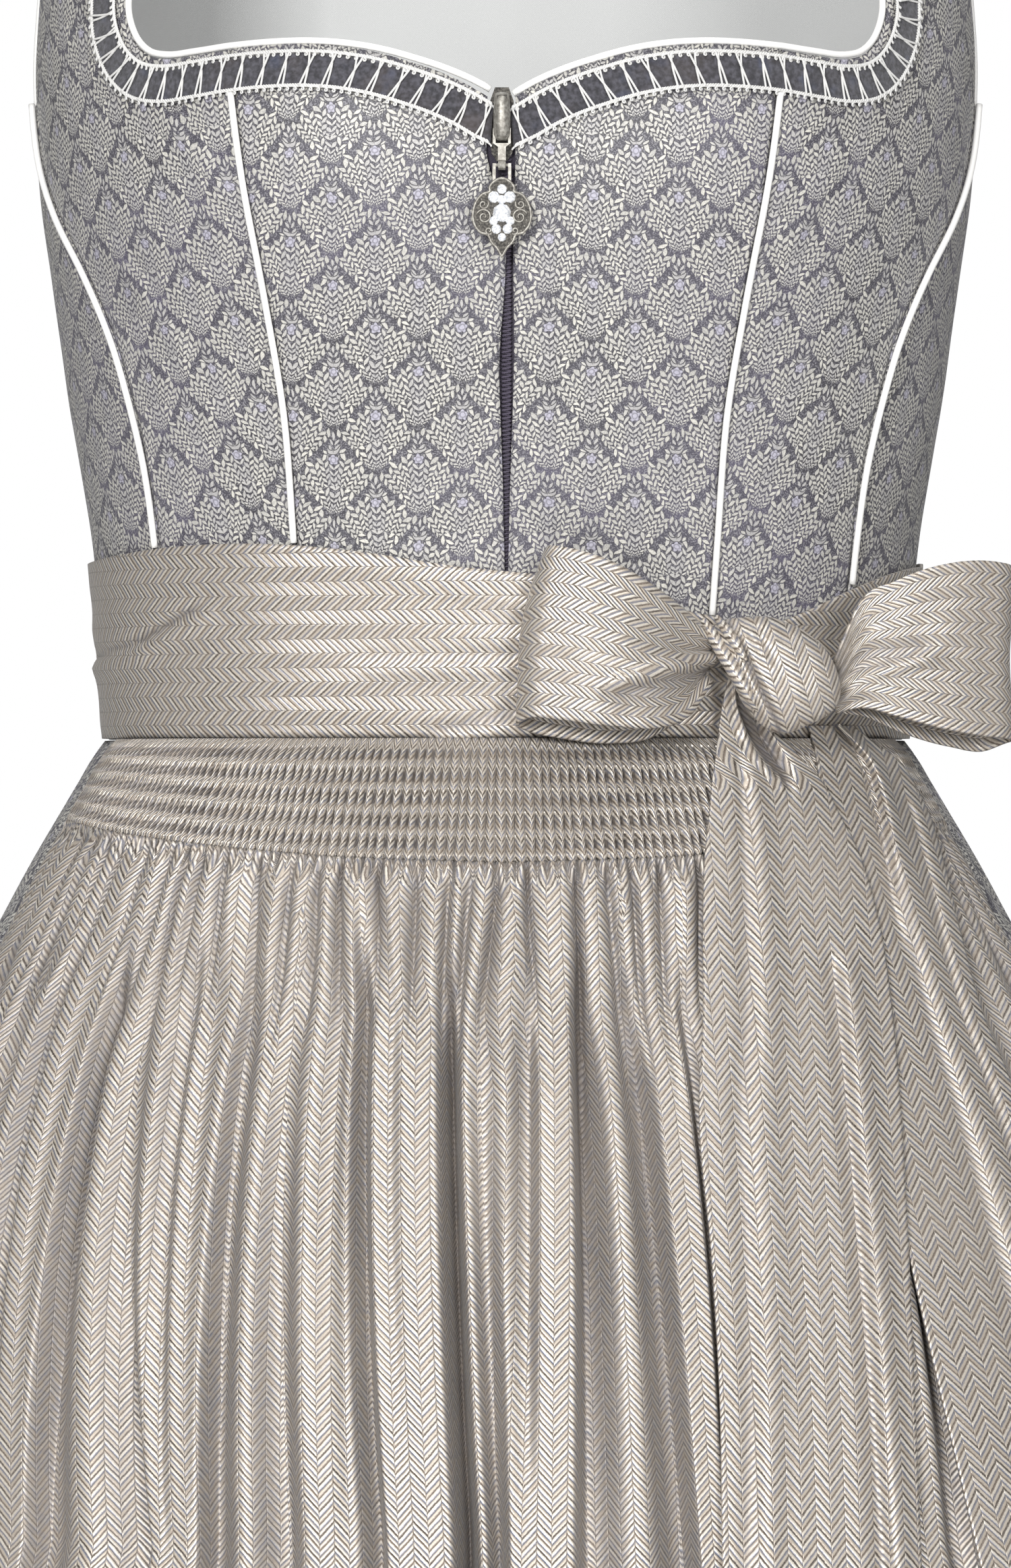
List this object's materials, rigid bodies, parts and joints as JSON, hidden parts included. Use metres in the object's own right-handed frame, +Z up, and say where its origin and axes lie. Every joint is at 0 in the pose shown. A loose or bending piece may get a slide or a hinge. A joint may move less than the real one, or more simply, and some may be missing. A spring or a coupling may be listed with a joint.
{
  "type": "dirndl dress",
  "caption": "Sleeveless dirndl dress with a piped brocade bodice, front zip, full skirt, smocked apron, belt and side bow, as a hollow worn garment.",
  "frame": {"origin": "midway between the two shoulder straps, at the height of their tops, where the wearer's shoulders hold the dress up", "axes": "+Z up, -Y out of the dress's front, +X towards the wearer's left side, which is the viewer's right"},
  "size_m": [0.6653, 0.562, 0.9846],
  "materials": {
    "brocade": "satin jacquard",
    "herringbone_satin": "glossy satin",
    "white_satin": "satin",
    "grey_velvet": "velvet",
    "white_thread": "matte thread",
    "lining_cotton": "matte",
    "zip_tape": "matte",
    "old_silver": "satin"
  },
  "bodies": {
    "dress": {"apron_belt": "herringbone_satin", "apron_panel": "herringbone_satin", "bodice_back_centre": "brocade", "bodice_back_lining": "lining_cotton", "bodice_back_side_left": "brocade", "bodice_back_side_right": "brocade", "bodice_front_centre_left": "brocade", "bodice_front_centre_right": "brocade", "bodice_front_side_left": "brocade", "bodice_front_side_right": "brocade", "bodice_side_left": "brocade", "bodice_side_right": "brocade", "bow_knot": "herringbone_satin", "bow_loop_left": "herringbone_satin", "bow_loop_right": "herringbone_satin", "bow_tail_back": "herringbone_satin", "bow_tail_front": "herringbone_satin", "neck_lace_left": "white_thread", "neck_lace_right": "white_thread", "neck_velvet_left": "grey_velvet", "neck_velvet_right": "grey_velvet", "piping_armhole_left": "white_satin", "piping_armhole_right": "white_satin", "piping_back_seam_left": "white_satin", "piping_back_seam_right": "white_satin", "piping_front_seam_left": "white_satin", "piping_front_seam_right": "white_satin", "piping_neck": "white_satin", "piping_side_seam_left": "white_satin", "piping_side_seam_right": "white_satin", "skirt": "brocade", "zip_slider": "old_silver", "zip_tape": "zip_tape"},
    "pull_tab": {"zip_pull_tab": "old_silver"},
    "pendant": {"zip_pendant": "old_silver"}
  },
  "joints": [
    {"name": "pull_tab_swing", "type": "hinge", "parent": "dress", "child": "pull_tab", "pos_m": [-0.0011, -0.12755, -0.2], "axis": [-1, 0, 0], "range_deg": [0, 120]},
    {"name": "pendant_swing", "type": "hinge", "parent": "pull_tab", "child": "pendant", "pos_m": [-0.0011, -0.12755, -0.2106], "axis": [-1, 0, 0], "range_deg": [0, 60]}
  ]
}
